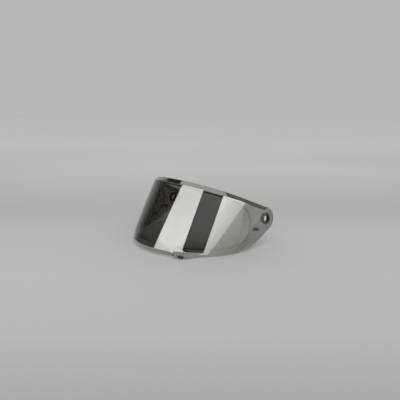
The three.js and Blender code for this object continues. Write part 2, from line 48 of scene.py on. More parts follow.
# The sheet, measured along its outer face from the centre line; heights from a level line through the ears
sheet = {
    "thickness": 0.0022,
    "turnLength": 0.230,
    "earTurn": math.radians(86.2),
    "turnPower": 1.58,
    "lean": math.tan(math.radians(5)),
    "crownRadius": 3.45,
    "browHeight": 0.0185,
    "chinDrop": 0.1014,
    "pivotArc": 0.1958,
    "earRadius": 0.019,
    "earRise": 0.0008,
    "chinJoinAngle": math.radians(-42),
    "browShares": [(0, 1), (0.3, 1.04), (0.55, 1.09), (0.78, 1.07)],
    "chinShares": [(0, 1), (0.22, 0.969), (0.4, 0.913), (0.52, 0.848), (0.64, 0.786), (0.75, 0.7),
                   (0.83, 0.621), (0.9, 0.519)],
    "lipHeight": 0.0075,
    "lipInset": 0.0026,
    "lipCreaseShare": 0.15,
    "lipFade": 0.012,
    "tabFront": 0.0486,
    "tabRiseLength": 0.010,
    "tabPeakEnd": 0.072,
    "tabTailLength": 0.017,
    "tabEnd": 0.095,
    "tabEndLength": 0.004,
    "tabReach": 0.0044,
    "tabDrop": 0.0064,
    "tabFoldFront": 0.0024,
    "tabFoldRear": 0.0048,
    "tabFoldShare": 0.06,
    "restPitch": math.radians(24.302182),
    "restShift": (0, -0.0455569, 0.099171),
    "slopeStep": 0.00005,
}

# Plan curve by the midpoint rule, as a table over the arc
planSteps = 400
planStep = sheet["turnLength"] / planSteps
planArcs = np.arange(planSteps + 1) * planStep


def planTurn(arc):
    return sheet["earTurn"] * (1 - np.maximum(0, 1 - arc / sheet["turnLength"]) ** sheet["turnPower"])


midTurns = planTurn(planArcs[:-1] + planStep / 2)
planX = np.concatenate([[0], np.cumsum(np.cos(midTurns)) * planStep])
planY = np.concatenate([[0], np.cumsum(np.sin(midTurns)) * planStep])


def smooth(value):
    value = np.clip(value, 0, 1)
    return value * value * (3 - 2 * value)


def splineCurve(points, count=400):
    # Catmull-Rom through all points, evenly stepped from point to point
    points = np.array(points, float)
    last = len(points) - 1
    line = []
    for k in range(count + 1):
        i = min(int(last * k / count), last - 1)
        w = last * k / count - i
        p0, p1, p2, p3 = points[max(i - 1, 0)], points[i], points[i + 1], points[min(i + 2, last)]
        v0, v1 = (p2 - p0) / 2, (p3 - p1) / 2
        line.append((2 * p1 - 2 * p2 + v0 + v1) * w**3 + (3 * p2 - 3 * p1 - 2 * v0 - v1) * w**2 + v0 * w + p1)
    return np.array(line)


def mirroredCurve(shares, height, end):
    half = [(along * sheet["pivotArc"], up * height) for along, up in shares] + [end]
    return splineCurve([(-x, y) for x, y in half[:0:-1]] + half)


joinArc = sheet["pivotArc"] + sheet["earRadius"] * math.cos(sheet["chinJoinAngle"])
joinRise = sheet["earRise"] + sheet["earRadius"] * math.sin(sheet["chinJoinAngle"])
browLine = mirroredCurve(
    sheet["browShares"], sheet["browHeight"], (sheet["pivotArc"], sheet["earRise"] + sheet["earRadius"]))
chinLine = mirroredCurve(sheet["chinShares"], -sheet["chinDrop"], (joinArc, joinRise))


def earEdge(arc, side):
    across = np.minimum(arc - sheet["pivotArc"], sheet["earRadius"])
    return sheet["earRise"] + side * np.sqrt(np.maximum(0, sheet["earRadius"] ** 2 - across**2))


def browEdge(s):
    arc = np.abs(s)
    return np.where(arc > sheet["pivotArc"], earEdge(arc, 1), np.interp(arc, browLine[:, 0], browLine[:, 1]))


def plainChinEdge(s):
    arc = np.abs(s)
    return np.where(arc > joinArc, earEdge(arc, -1), np.interp(arc, chinLine[:, 0], chinLine[:, 1]))


def tabRise(s):
    return smooth((s - sheet["tabFront"]) / sheet["tabRiseLength"])


def tabShape(s):
    return tabRise(s) * (1 - smooth((s - sheet["tabPeakEnd"]) / sheet["tabTailLength"]))


def chinEdge(s):
    return plainChinEdge(s) - sheet["tabDrop"] * tabShape(s)


def lipBend(s, z):
    up = np.clip((z - browEdge(s) + sheet["lipHeight"]) / sheet["lipHeight"], 0, 1)
    fade = 1 - smooth((np.abs(s) - sheet["pivotArc"] + sheet["lipFade"]) / sheet["lipFade"])
    soft = sheet["lipCreaseShare"]
    return sheet["lipInset"] * fade * (np.hypot(up, soft) - soft) / (math.hypot(1, soft) - soft)


def tabFold(s):
    ends = sheet["tabFront"], sheet["tabEnd"]
    return np.interp(s, ends, (sheet["tabFoldFront"], sheet["tabFoldRear"]))


def tabBend(s, z):
    # The flare leans out at one angle below its fold, over the tab's whole length
    full = (sheet["tabFoldFront"] + sheet["tabFoldRear"]) / 2 + sheet["tabDrop"]
    soft = sheet["tabFoldShare"] * full
    down = np.maximum(0, plainChinEdge(s) + tabFold(s) - z)
    flare = tabRise(s) * (1 - smooth((s - sheet["tabEnd"] + sheet["tabEndLength"]) / sheet["tabEndLength"]))
    return sheet["tabReach"] * flare * (np.hypot(down, soft) - soft) / (math.hypot(full, soft) - soft)


def facePoint(s, z):
    arc, side = np.abs(s), np.where(s < 0, -1, 1)
    back = sheet["lean"] * z + z * z / (2 * sheet["crownRadius"]) + lipBend(s, z) - tabBend(s, z)
    turn = planTurn(arc)
    x, y = np.interp(arc, planArcs, planX), np.interp(arc, planArcs, planY)
    return np.stack([side * (x - back * np.sin(turn)), y + back * np.cos(turn), z + 0 * arc], -1)


def faceNormal(s, z):
    step = sheet["slopeStep"]
    along = facePoint(s + step, z) - facePoint(s - step, z)
    up = facePoint(s, z + step) - facePoint(s, z - step)
    out = np.cross(along, up)
    return out / np.linalg.norm(out, axis=-1, keepdims=True)


def sheetPoint(s, z, depth):
    # A point behind the outer face, with the visor pitched as it rests
    s, z, depth = np.broadcast_arrays(np.asarray(s, float), np.asarray(z, float), np.asarray(depth, float))
    p = facePoint(s, z) - faceNormal(s, z) * depth[..., None]
    c, k = math.cos(sheet["restPitch"]), math.sin(sheet["restPitch"])
    x, y, z = p[..., 0], p[..., 1], p[..., 2]
    return np.stack([x, y * c + z * k, z * c - y * k], -1) + np.array(sheet["restShift"])


def seatMatrix(s, z, along=None):
    # Local frame on the sheet: X along the face, Y up the face, Z outwards
    step = sheet["slopeStep"]
    at = Vector(sheetPoint(s, z, 0))
    out = (at - Vector(sheetPoint(s, z, step))).normalized()
    if along is None:
        along = (Vector(sheetPoint(s, z + step, 0)) - Vector(sheetPoint(s, z - step, 0))).cross(out)
    up = out.cross(along).normalized()
    axes = Matrix((up.cross(out), up, out)).transposed()
    return Matrix.Translation(at) @ axes.to_4x4()


# Small helpers for work with Blender's tools; points closer than these are merged into one
weldDistance = 1e-6
fineWeldDistance = 1e-7


def deselectAll():
    bpy.ops.object.select_all(action="DESELECT")


def pick(piece):
    deselectAll()
    piece.select_set(True)
    bpy.context.view_layer.objects.active = piece


def edit(piece, *steps):
    # Runs edit-mode steps on everything in the piece
    pick(piece)
    bpy.ops.object.mode_set(mode="EDIT")
    bpy.ops.mesh.select_all(action="SELECT")
    for step in steps:
        step()
    bpy.ops.object.mode_set(mode="OBJECT")
    return piece


def finishModifier(piece, modifier):
    pick(piece)
    bpy.ops.object.modifier_apply(modifier=modifier.name)


def bevel(piece, width, segments=2, angle=35):
    modifier = piece.modifiers.new("edges", "BEVEL")
    modifier.width, modifier.segments = width, segments
    modifier.limit_method, modifier.angle_limit = "ANGLE", math.radians(angle)
    finishModifier(piece, modifier)


def boolean(piece, cutter, operation="DIFFERENCE"):
    modifier = piece.modifiers.new("cut", "BOOLEAN")
    modifier.operation, modifier.object, modifier.solver = operation, cutter, "EXACT"
    finishModifier(piece, modifier)
    bpy.data.objects.remove(cutter)


def smoothByAngle(piece, degrees=32):
    pick(piece)
    bpy.ops.object.shade_smooth_by_angle(angle=math.radians(degrees))


def place(piece, matrix):
    piece.matrix_world = matrix
    pick(piece)
    bpy.ops.object.transform_apply(location=True, rotation=True, scale=True)
    return piece


def formGrid(name, points):
    # A grid primitive drawn out to a table of points, with its seams and round ends closed
    columns, rows = points.shape[:2]
    deselectAll()
    bpy.ops.mesh.primitive_grid_add(x_subdivisions=columns - 1, y_subdivisions=rows - 1, size=1)
    piece = bpy.context.object
    piece.name = name
    flat = np.empty(len(piece.data.vertices) * 3)
    piece.data.vertices.foreach_get("co", flat)
    flat = flat.reshape(-1, 3)
    i = np.rint((flat[:, 0] + 0.5) * (columns - 1)).astype(int)
    j = np.rint((flat[:, 1] + 0.5) * (rows - 1)).astype(int)
    piece.data.vertices.foreach_set("co", points[i, j].reshape(-1))
    return edit(
        piece,
        lambda: bpy.ops.mesh.remove_doubles(threshold=weldDistance),
        lambda: bpy.ops.mesh.normals_make_consistent(inside=False),
    )


def turnedPiece(name, profile, sides, matrix, edge):
    # Drawn up from a circle through (radius, height) steps about local Z; edge is the bevel's width, or 0
    radius, height = profile[0]
    deselectAll()
    bpy.ops.mesh.primitive_circle_add(vertices=sides, radius=radius, fill_type="NOTHING")
    piece = bpy.context.object
    piece.name = name
    bpy.ops.object.mode_set(mode="EDIT")
    bpy.ops.mesh.select_all(action="SELECT")
    bpy.ops.transform.translate(value=(0, 0, height))
    for nextRadius, nextHeight in profile[1:]:
        bpy.ops.mesh.extrude_region_move(TRANSFORM_OT_translate={"value": (0, 0, nextHeight - height)})
        ratio = nextRadius / radius
        bpy.ops.transform.resize(value=(ratio, ratio, 1), center_override=(0, 0, nextHeight))
        radius, height = nextRadius, nextHeight
    bpy.ops.mesh.select_all(action="SELECT")
    bpy.ops.mesh.remove_doubles(threshold=fineWeldDistance)
    bpy.ops.mesh.fill_holes(sides=0)
    bpy.ops.mesh.select_all(action="SELECT")
    bpy.ops.mesh.normals_make_consistent(inside=False)
    bpy.ops.object.mode_set(mode="OBJECT")
    if edge:
        bevel(piece, edge)
    return place(piece, matrix)


def roundedCopy(name, node, edge):
    # A copy of a CAD node with its faces merged and its edges eased
    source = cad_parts[node]
    pick(source)
    bpy.ops.object.duplicate()
    piece = bpy.context.object
    piece.name = name
    piece.parent = None
    piece.matrix_world = Matrix.Identity(4)
    piece.hide_render = False
    edit(
        piece,
        lambda: bpy.ops.mesh.remove_doubles(threshold=weldDistance),
        lambda: bpy.ops.mesh.dissolve_limited(angle_limit=math.radians(1)),
    )
    bevel(piece, edge)
    smoothByAngle(piece)
    return piece


def cylinder(radius, low, high, matrix, sides=64):
    deselectAll()
    bpy.ops.mesh.primitive_cylinder_add(vertices=sides, radius=radius, depth=high - low)
    return place(bpy.context.object, matrix @ Matrix.Translation((0, 0, (low + high) / 2)))


# Materials

def newMaterial(name):
    material = bpy.data.materials.new(name)
    material.use_nodes = True
    nodes = material.node_tree.nodes
    nodes.clear()
    shader = nodes.new("ShaderNodeBsdfPrincipled")
    output = nodes.new("ShaderNodeOutputMaterial")
    material.node_tree.links.new(shader.outputs["BSDF"], output.inputs["Surface"])
    return material, shader


def addNode(tree, kind, **values):
    # Values named after sockets are set on them, the others on the node itself
    node = tree.nodes.new(kind)
    for key, value in values.items():
        if hasattr(node, key):
            setattr(node, key, value)
        else:
            node.inputs[key.replace("_", " ")].default_value = value
    return node


def newGroup(name, inputs, outputs):
    group = bpy.data.node_groups.new(name, "ShaderNodeTree")
    for socket, kind, value in inputs:
        made = group.interface.new_socket(name=socket, in_out="INPUT", socket_type=kind)
        if value is not None:
            made.default_value = value
    for socket, kind in outputs:
        group.interface.new_socket(name=socket, in_out="OUTPUT", socket_type=kind)
    return group, group.nodes.new("NodeGroupInput"), group.nodes.new("NodeGroupOutput")


def mapRange(tree, source, low, high, fromLow=0.0, fromHigh=1.0):
    node = tree.nodes.new("ShaderNodeMapRange")
    node.inputs["From Min"].default_value, node.inputs["From Max"].default_value = fromLow, fromHigh
    for name, value in (("To Min", low), ("To Max", high)):
        if isinstance(value, (int, float)):
            node.inputs[name].default_value = value
        else:
            tree.links.new(value, node.inputs[name])
    tree.links.new(source, node.inputs["Value"])
    return node.outputs["Result"]


def moulding():
    # Moulded or handled surface: soft patches, a fine grain, and a height for the bump
    group, given, made = newGroup(
        "moulding",
        [("Light", "NodeSocketColor", None), ("Dark", "NodeSocketColor", None),
         ("Patch Scale", "NodeSocketFloat", 60.0), ("Grain Scale", "NodeSocketFloat", 2500.0),
         ("Rough Low", "NodeSocketFloat", 0.3), ("Rough High", "NodeSocketFloat", 0.5)],
        [("Color", "NodeSocketColor"), ("Roughness", "NodeSocketFloat"), ("Height", "NodeSocketFloat")],
    )
    link = group.links.new
    coords = addNode(group, "ShaderNodeTexCoord")
    patches = addNode(group, "ShaderNodeTexNoise", Detail=3.0, Roughness=0.55)
    grain = addNode(group, "ShaderNodeTexNoise", Detail=2.0, Roughness=0.6)
    for noise, scale in ((patches, "Patch Scale"), (grain, "Grain Scale")):
        link(coords.outputs["Object"], noise.inputs["Vector"])
        link(given.outputs[scale], noise.inputs["Scale"])
    noiseMiddle = (0.35, 0.65)
    spread = mapRange(group, patches.outputs["Fac"], 0.0, 1.0, *noiseMiddle)
    mix = addNode(group, "ShaderNodeMix", data_type="RGBA")
    link(spread, mix.inputs[0])
    link(given.outputs["Dark"], mix.inputs[6])
    link(given.outputs["Light"], mix.inputs[7])
    rough = mapRange(group, spread, given.outputs["Rough Low"], given.outputs["Rough High"])
    link(mix.outputs[2], made.inputs["Color"])
    link(rough, made.inputs["Roughness"])
    link(grain.outputs["Fac"], made.inputs["Height"])
    return group


mouldingGroup = moulding()


def surfaceShader(name, look):
    # A shader on the moulding group; look gives its colours, scales, roughness, bump and fixed values
    material, shader = newMaterial(name)
    tree = material.node_tree
    surface = addNode(tree, "ShaderNodeGroup")
    surface.node_tree = mouldingGroup
    for socket, key in (("Light", "light"), ("Dark", "dark")):
        surface.inputs[socket].default_value = (*look[key], 1)
    for socket, key in (("Patch Scale", "patchScale"), ("Grain Scale", "grainScale")):
        surface.inputs[socket].default_value = look[key]
    surface.inputs["Rough Low"].default_value, surface.inputs["Rough High"].default_value = look["rough"]
    tree.links.new(surface.outputs["Color"], shader.inputs["Base Color"])
    tree.links.new(surface.outputs["Roughness"], shader.inputs["Roughness"])
    bump = addNode(tree, "ShaderNodeBump", Strength=look["bump"], Distance=look["bumpDepth"])
    tree.links.new(surface.outputs["Height"], bump.inputs["Height"])
    tree.links.new(bump.outputs["Normal"], shader.inputs["Normal"])
    for socket, value in look.get("fixed", {}).items():
        shader.inputs[socket].default_value = value
    return material, shader


def finishMaterial(name, look):
    return surfaceShader(name, look)[0]


nylon = finishMaterial("blackNylon", {
    "light": (0.020, 0.020, 0.022), "dark": (0.010, 0.010, 0.011), "patchScale": 90, "grainScale": 2600,
    "rough": (0.38, 0.55), "bump": 0.25, "bumpDepth": 0.0001,
})
# Painted light: a lighter grey copy of the black nylon, for the lit face of the pivot bush's rim
litRimNylon = finishMaterial("litRimNylon", {
    "light": (0.100, 0.097, 0.091), "dark": (0.065, 0.063, 0.060), "patchScale": 110, "grainScale": 2600,
    "rough": (0.3, 0.45), "bump": 0.15, "bumpDepth": 0.0001,
})
pinPlastic = finishMaterial("pinPlastic", {
    "light": (0.115, 0.109, 0.096), "dark": (0.085, 0.080, 0.070), "patchScale": 140, "grainScale": 3200,
    "rough": (0.3, 0.42), "bump": 0.15, "bumpDepth": 0.0001,
})
greyRubber = finishMaterial("greyRubber", {
    "light": (0.240, 0.232, 0.215), "dark": (0.180, 0.174, 0.160), "patchScale": 120, "grainScale": 1800,
    "rough": (0.55, 0.7), "bump": 0.3, "bumpDepth": 0.0001,
})
zincSteel = finishMaterial("zincSteel", {
    "light": (0.66, 0.66, 0.67), "dark": (0.5, 0.5, 0.52), "patchScale": 300, "grainScale": 4200,
    "rough": (0.22, 0.38), "bump": 0.12, "bumpDepth": 0.00005, "fixed": {"Metallic": 1.0},
})
silicone = finishMaterial("greySilicone", {
    "light": (0.07, 0.07, 0.067), "dark": (0.05, 0.05, 0.048), "patchScale": 60, "grainScale": 1500,
    "rough": (0.4, 0.55), "bump": 0.1, "bumpDepth": 0.0001,
})
antifogFilm = finishMaterial("antifogFilm", {
    "light": (0.05, 0.05, 0.048), "dark": (0.03, 0.03, 0.028), "patchScale": 25, "grainScale": 700,
    "rough": (0.1, 0.18), "bump": 0.02, "bumpDepth": 0.0001, "fixed": {"Alpha": 0.03, "IOR": 1.48},
})
smokeSheet = finishMaterial("smokeSheet", {
    "light": (0.050, 0.034, 0.014), "dark": (0.036, 0.025, 0.010), "patchScale": 18, "grainScale": 500,
    "rough": (0.05, 0.1), "bump": 0.02, "bumpDepth": 0.0001, "fixed": {"Alpha": 0.51, "IOR": 1.585},
})


def mirrorCoat(look):
    # Silver coat on the outer face: a soft haze, gentle waves, and less light let through at the brow lip
    material, shader = surfaceShader("mirrorCoat", look)
    tree = material.node_tree
    lip = addNode(tree, "ShaderNodeAttribute", attribute_name="lipShade")
    alpha = mapRange(tree, lip.outputs["Fac"], look["alpha"], look["lipAlpha"])
    tree.links.new(alpha, shader.inputs["Alpha"])
    return material


mirror = mirrorCoat({
    "light": (0.93, 0.925, 0.91), "dark": (0.88, 0.87, 0.85), "patchScale": 22, "grainScale": 14,
    "rough": (0.025, 0.05), "bump": 0.03, "bumpDepth": 0.0002, "fixed": {"Metallic": 1.0},
    "alpha": 0.62, "lipAlpha": 0.96,
})
print("materials made")


# Curved panels: a closed form between two depths, with a rounded rim

def roundStations(roundStart, end, step):
    # Arcs from the centre out, closing up towards a round end, on both sides
    plain = np.linspace(0, roundStart, math.ceil(roundStart / step), endpoint=False)
    turns = math.ceil((end - roundStart) * math.pi / 2 / step) + 1
    bend = np.sin(np.linspace(0, math.pi / 2, turns))
    half = np.concatenate([plain, roundStart + (end - roundStart) * bend])
    return np.concatenate([-half[:0:-1], half])


def edgeNormals(stations, heights, side):
    along, up = np.gradient(stations), np.gradient(heights)
    length = np.hypot(along, up)
    normals = np.stack([-up / length, along / length], -1) * side
    normals[0], normals[-1] = (-1, 0), (1, 0)
    return normals


def curvedPanel(name, stations, low, high, shares, nearDepth, farDepth, rounding):
    # shares: for each station, the rows' shares of the way from the low edge to the high one
    lowPoints, highPoints = np.stack([stations, low], -1), np.stack([stations, high], -1)
    lowOut, highOut = edgeNormals(stations, low, -1), edgeNormals(stations, high, 1)
    lowIn, highIn = lowPoints - lowOut * rounding, highPoints - highOut * rounding
    thick = farDepth - nearDepth
    turns = np.radians([30, 60, 90])  # the steps round each corner of the rim
    corner = [(rounding * (1 - math.sin(a)), rounding * (1 - math.cos(a))) for a in turns]
    rim = corner + [(inset, thick - depth) for inset, depth in corner[::-1]]
    places, depths = [], []
    for share in shares.T:
        places.append(lowIn + (highIn - lowIn) * share[:, None])
        depths.append(nearDepth)
    for inset, depth in rim:
        places.append(highPoints - highOut * inset)
        depths.append(nearDepth + depth)
    for share in shares.T[::-1]:
        places.append(lowIn + (highIn - lowIn) * share[:, None])
        depths.append(farDepth)
    for inset, depth in rim[::-1]:
        places.append(lowPoints - lowOut * inset)
        depths.append(nearDepth + depth)
    places.append(places[0])
    depths.append(depths[0])
    flat = np.stack(places, 1)
    depth = np.broadcast_to(np.array(depths), flat.shape[:2])
    return formGrid(name, sheetPoint(flat[..., 0], flat[..., 1], depth)), flat, depth


shell = {
    "columnStep": 0.0018,
    "rows": (10, 34, 12),
    "rimRounding": 0.00045,
    "pivotHole": 0.0085,
    "pivotHoleSides": 96,
    "pivotInset": 0.0015,
    "pinHole": 0.00188,
    "pinHoleSides": 48,
    "pinArc": 0.1782,
    "pinDrop": 0.0223,
    "lipShadeBand": 0.3,
}


def shellShares(stations, low, high):
    lip, tab = sheet["lipHeight"], sheet["tabDrop"]
    band = np.minimum(1, (high - low) / (sheet["tabFoldRear"] + tab + lip) / 2)
    fold = low + (tabFold(stations) + tab * tabShape(stations)) * band
    crease = high - lip * band
    lowRows, midRows, lipRows = shell["rows"]
    rows = [low + (fold - low) * k / lowRows for k in range(lowRows)]
    rows += [fold + (crease - fold) * k / midRows for k in range(midRows)]
    rows += [crease + (high - crease) * k / lipRows for k in range(lipRows + 1)]
    height = np.maximum(high - low, 1e-9)
    shares = np.stack([(row - low) / height for row in rows], -1)
    shares[0] = shares[-1] = np.linspace(0, 1, len(rows))
    return np.clip(shares, 0, 1)


# The lock slider's frame: X runs along a line on the sheet above the tab
lock = {
    "sliderArc": 0.0652,
    "lineRise": 0.006,
    "sliderWidth": 0.0076,
    "travel": 0.0032,
    "notchDepth": 0.0032,
    "gap": 0.0003,
    "padProud": 0.0009,
    "cutOverrun": 0.001,
    "screwPlaces": (-0.0126, 0.0079),
    "screwDrop": 0.0029,
    "bossRadius": 0.0023,
    "bossDepth": 0.0044,
    "bossSides": 48,
    "boreRadius": 0.0012,
    "boreSides": 32,
    "boreFloor": 0.0026,
}
lockRise = float(plainChinEdge(lock["sliderArc"]) + lock["lineRise"])


def lockMatrix():
    arc, step = lock["sliderArc"], sheet["slopeStep"]
    line = [Vector(sheetPoint(s, plainChinEdge(s) + lock["lineRise"], 0)) for s in (arc - step, arc + step)]
    return seatMatrix(arc, lockRise, line[1] - line[0])


lockSeat = lockMatrix()


def tabSection(down, depth):
    local = lockSeat.inverted() @ Vector(sheetPoint(lock["sliderArc"], lockRise - down, depth))
    return Vector((local.z, local.y))


def notchCutter():
    # The notch in the tab's rim, as a bar along the lock's X
    tabLength = lock["lineRise"] + sheet["tabDrop"]
    top = tabLength - lock["notchDepth"]
    reach = lock["notchDepth"] + 2 * lock["cutOverrun"]
    down = (tabSection(tabLength, 0) - tabSection(top, 0)).normalized() * reach
    outer = tabSection(top, -2 * lock["padProud"] - lock["cutOverrun"])
    inner = tabSection(top, sheet["thickness"] + lock["cutOverrun"])
    half, gap = lock["sliderWidth"] / 2, lock["gap"]
    ends = (-half - lock["travel"] - gap, half + gap)
    deselectAll()
    bpy.ops.mesh.primitive_cube_add(size=2)
    bar = bpy.context.object
    for vertex in bar.data.vertices:
        side = inner if vertex.co.z < 0 else outer
        at = side + down if vertex.co.y < 0 else side
        vertex.co = (ends[0] if vertex.co.x < 0 else ends[1], at.y, at.x)
    edit(bar, lambda: bpy.ops.mesh.normals_make_consistent(inside=False))
    return place(bar, lockSeat)


def cutBare(piece, cutter, operation="DIFFERENCE"):
    # Leaves bare smoke sheet where it cuts or adds
    cutter.data.materials.append(mirror)
    cutter.data.materials.append(smokeSheet)
    for face in cutter.data.polygons:
        face.material_index = 1
    boolean(piece, cutter, operation)


def makeShell():
    end = sheet["pivotArc"] + sheet["earRadius"]
    stations = roundStations(sheet["pivotArc"], end, shell["columnStep"])
    low, high = chinEdge(stations), browEdge(stations)
    low[0] = high[0] = low[-1] = high[-1] = sheet["earRise"]
    shares = shellShares(stations, low, high)
    piece, flat, depth = curvedPanel(
        "visorShell", stations, low, high, shares, 0, sheet["thickness"], shell["rimRounding"])
    piece.data.materials.append(mirror)
    piece.data.materials.append(smokeSheet)

    # The inner face is bare smoke sheet, the outer face and the rim carry the mirror coat
    tree = KDTree(flat.shape[0] * flat.shape[1])
    places = sheetPoint(flat[..., 0], flat[..., 1], depth).reshape(-1, 3)
    for i, point in enumerate(places):
        tree.insert(point, i)
    tree.balance()
    flat, depth = flat.reshape(-1, 2), depth.reshape(-1)
    inner = sheet["thickness"] - shell["rimRounding"] / 2
    for face in piece.data.polygons:
        deepest = min(depth[tree.find(piece.data.vertices[v].co)[1]] for v in face.vertices)
        face.material_index = 1 if deepest > inner else 0

    overrun = lock["cutOverrun"]
    middle = sheet["thickness"] / 2
    screwSeats = [lockSeat @ Matrix.Translation((x, -lock["screwDrop"], 0)) for x in lock["screwPlaces"]]
    for seat in screwSeats:
        boss = cylinder(lock["bossRadius"], -lock["bossDepth"], -middle, seat, lock["bossSides"])
        cutBare(piece, boss, "UNION")
    for seat in screwSeats:
        boreLow = -lock["bossDepth"] - overrun
        cutBare(piece, cylinder(lock["boreRadius"], boreLow, -lock["boreFloor"], seat, lock["boreSides"]))
    pivotArc = sheet["pivotArc"] - shell["pivotInset"]
    holes = ((pivotArc, sheet["earRise"], shell["pivotHole"], shell["pivotHoleSides"]),
             (shell["pinArc"], -shell["pinDrop"], shell["pinHole"], shell["pinHoleSides"]))
    for side in (-1, 1):
        for arc, rise, radius, sides in holes:
            seat = seatMatrix(side * arc, rise)
            cutBare(piece, cylinder(radius, -sheet["thickness"] - overrun, overrun, seat, sides))
    cutBare(piece, notchCutter())

    shade = piece.data.attributes.new("lipShade", "FLOAT", "POINT")
    values = []
    for vertex in piece.data.vertices:
        s, z = flat[tree.find(vertex.co)[1]]
        up = (z - float(browEdge(s)) + sheet["lipHeight"]) / sheet["lipHeight"]
        values.append(float(smooth((up + shell["lipShadeBand"] / 2) / shell["lipShadeBand"])))
    shade.data.foreach_set("value", values)
    smoothByAngle(piece, 40)
    return piece


visorShell = makeShell()
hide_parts("visor_shell")
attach(visorShell, "visor")
print("shell made:", len(visorShell.data.polygons), "faces")

# Anti-fog insert and its bead, behind the sheet
insert = {
    "thickness": 0.001,
    "airGap": 0.0018,
    "topDrop": 0.008,
    "sill": 0.0081,
    "roundStart": 0.105,
    "flatShare": 0.75,
    "endRise": -0.024,
    "topPower": 2.6,
    "footPower": 3.6,
    "notchLand": 0.002,
    "notchRadius": 0.0031,
    "columnStep": 0.0022,
    "rows": 30,
    "rimRounding": 0.00025,
    "beadWidth": 0.0016,
    "beadInset": 0.0006,
    "beadEndInset": 0.012,
    "beadSides": 10,
    "gap": 0.0003,
}


def insertSpan(s, end, inset):
    arc = np.abs(s)
    across = np.clip((arc - insert["roundStart"]) / (end - insert["roundStart"]), 0, 1)
    foot, top = [np.power(1 - np.power(across, p), 1 / p) for p in (insert["footPower"], insert["topPower"])]
    flat = np.minimum(arc, insert["roundStart"] + (end - insert["roundStart"]) * insert["flatShare"])
    high = browEdge(flat) - insert["topDrop"] - inset
    low = plainChinEdge(flat) + insert["sill"] + inset
    rise = insert["endRise"]
    return rise + (low - rise) * foot, rise + (high - rise) * top


def makeInsert():
    end = shell["pinArc"] - insert["notchLand"]
    near = sheet["thickness"] + insert["airGap"]
    stations = roundStations(insert["roundStart"], end, insert["columnStep"])
    low, high = insertSpan(stations, end, 0)
    shares = np.broadcast_to(np.linspace(0, 1, insert["rows"]), (len(stations), insert["rows"]))
    far = near + insert["thickness"]
    piece = curvedPanel("antifogInsert", stations, low, high, shares, near, far, insert["rimRounding"])[0]
    for side in (-1, 1):
        seat = seatMatrix(side * shell["pinArc"], -shell["pinDrop"])
        overrun = lock["cutOverrun"]
        boolean(piece, cylinder(insert["notchRadius"], -far - overrun, overrun - near, seat))
    piece.data.materials.append(antifogFilm)
    smoothByAngle(piece, 40)
    return piece


def makeBead():
    end = shell["pinArc"] - insert["beadEndInset"]
    width = insert["beadWidth"]
    near, far = sheet["thickness"] + insert["gap"], sheet["thickness"] + insert["airGap"] - insert["gap"]
    stations = roundStations(insert["roundStart"], end, insert["columnStep"])
    inner = stations * (end - width) / end
    lowOut, highOut = insertSpan(stations, end, insert["beadInset"])
    lowIn, highIn = insertSpan(inner, end - width, insert["beadInset"] + width)
    outerPath = np.concatenate([np.stack([stations, highOut], -1), np.stack([stations, lowOut], -1)[-2:0:-1]])
    innerPath = np.concatenate([np.stack([inner, highIn], -1), np.stack([inner, lowIn], -1)[-2:0:-1]])
    outerPath, innerPath = [np.concatenate([path, path[:1]]) for path in (outerPath, innerPath)]
    rows = []
    for k in range(insert["beadSides"] + 1):
        angle = 2 * math.pi * k / insert["beadSides"]
        across = (1 - math.cos(angle)) / 2
        depth = (near + far) / 2 + (far - near) / 2 * math.sin(angle)
        path = outerPath + (innerPath - outerPath) * across
        rows.append(sheetPoint(path[:, 0], path[:, 1], depth))
    piece = formGrid("antifogBead", np.stack(rows, 1))
    piece.data.materials.append(silicone)
    smoothByAngle(piece, 70)
    return piece


antifogInsert = makeInsert()
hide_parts("antifog_insert")
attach(antifogInsert, "visor")
antifogBead = makeBead()
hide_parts("antifog_bead")
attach(antifogBead, "visor")
print("insert and bead made")

# Pivot bushes, gaskets and rings in the ears
pivot = {
    "sleeveRadius": 0.0082,
    "sleeveWall": 0.002,
    "holeRadius": 0.0053,
    "cupDepth": 0.003,
    "floor": 0.001,
    "socketRadius": 0.0069,
    "rimRadius": 0.0095,
    "rimHeight": 0.0008,
    "rimEdge": 0.00035,
    "gasketThickness": 0.0006,
    "gasketProud": 0.0005,
    "gasketEdge": 0.00015,
    "ringRadius": 0.0098,
    "ringThickness": 0.0012,
    "ringEdge": 0.0004,
    "barbReach": 0.0005,
    "barbHeight": 0.0006,
    "gap": 0.0003,
    "bevel": 0.0001,
    "sides": 96,
}


def bushProfile():
    gap, edge = pivot["gap"], pivot["rimEdge"]
    rimLow = pivot["gasketThickness"] + 2 * gap
    rimHigh = rimLow + pivot["rimHeight"]
    ringLow = -sheet["thickness"] - gap - pivot["ringThickness"]
    sleeveEnd = ringLow - gap - pivot["barbHeight"]
    sleeve, cup = pivot["sleeveRadius"], pivot["sleeveRadius"] - pivot["sleeveWall"]
    cupFloor = rimHigh - pivot["cupDepth"]
    return [
        (pivot["socketRadius"], sleeveEnd),
        (sleeve, sleeveEnd),
        (sleeve + pivot["barbReach"], ringLow - gap),
        (sleeve, ringLow - gap),
        (sleeve, rimLow),
        (pivot["rimRadius"], rimLow),
        (pivot["rimRadius"], rimHigh - edge),
        (pivot["rimRadius"] - edge, rimHigh),
        (cup + edge, rimHigh),
        (cup, rimHigh - edge),
        (cup, cupFloor),
        (pivot["holeRadius"], cupFloor),
        (pivot["holeRadius"], cupFloor - pivot["floor"]),
        (pivot["socketRadius"], cupFloor - pivot["floor"]),
        (pivot["socketRadius"], sleeveEnd),
    ]


def ringProfile(inner, outer, low, high, edge):
    # A ring with its four corners cut off
    return [
        (inner, low + edge), (inner + edge, low), (outer - edge, low), (outer, low + edge),
        (outer, high - edge), (outer - edge, high), (inner + edge, high), (inner, high - edge),
        (inner, low + edge),
    ]


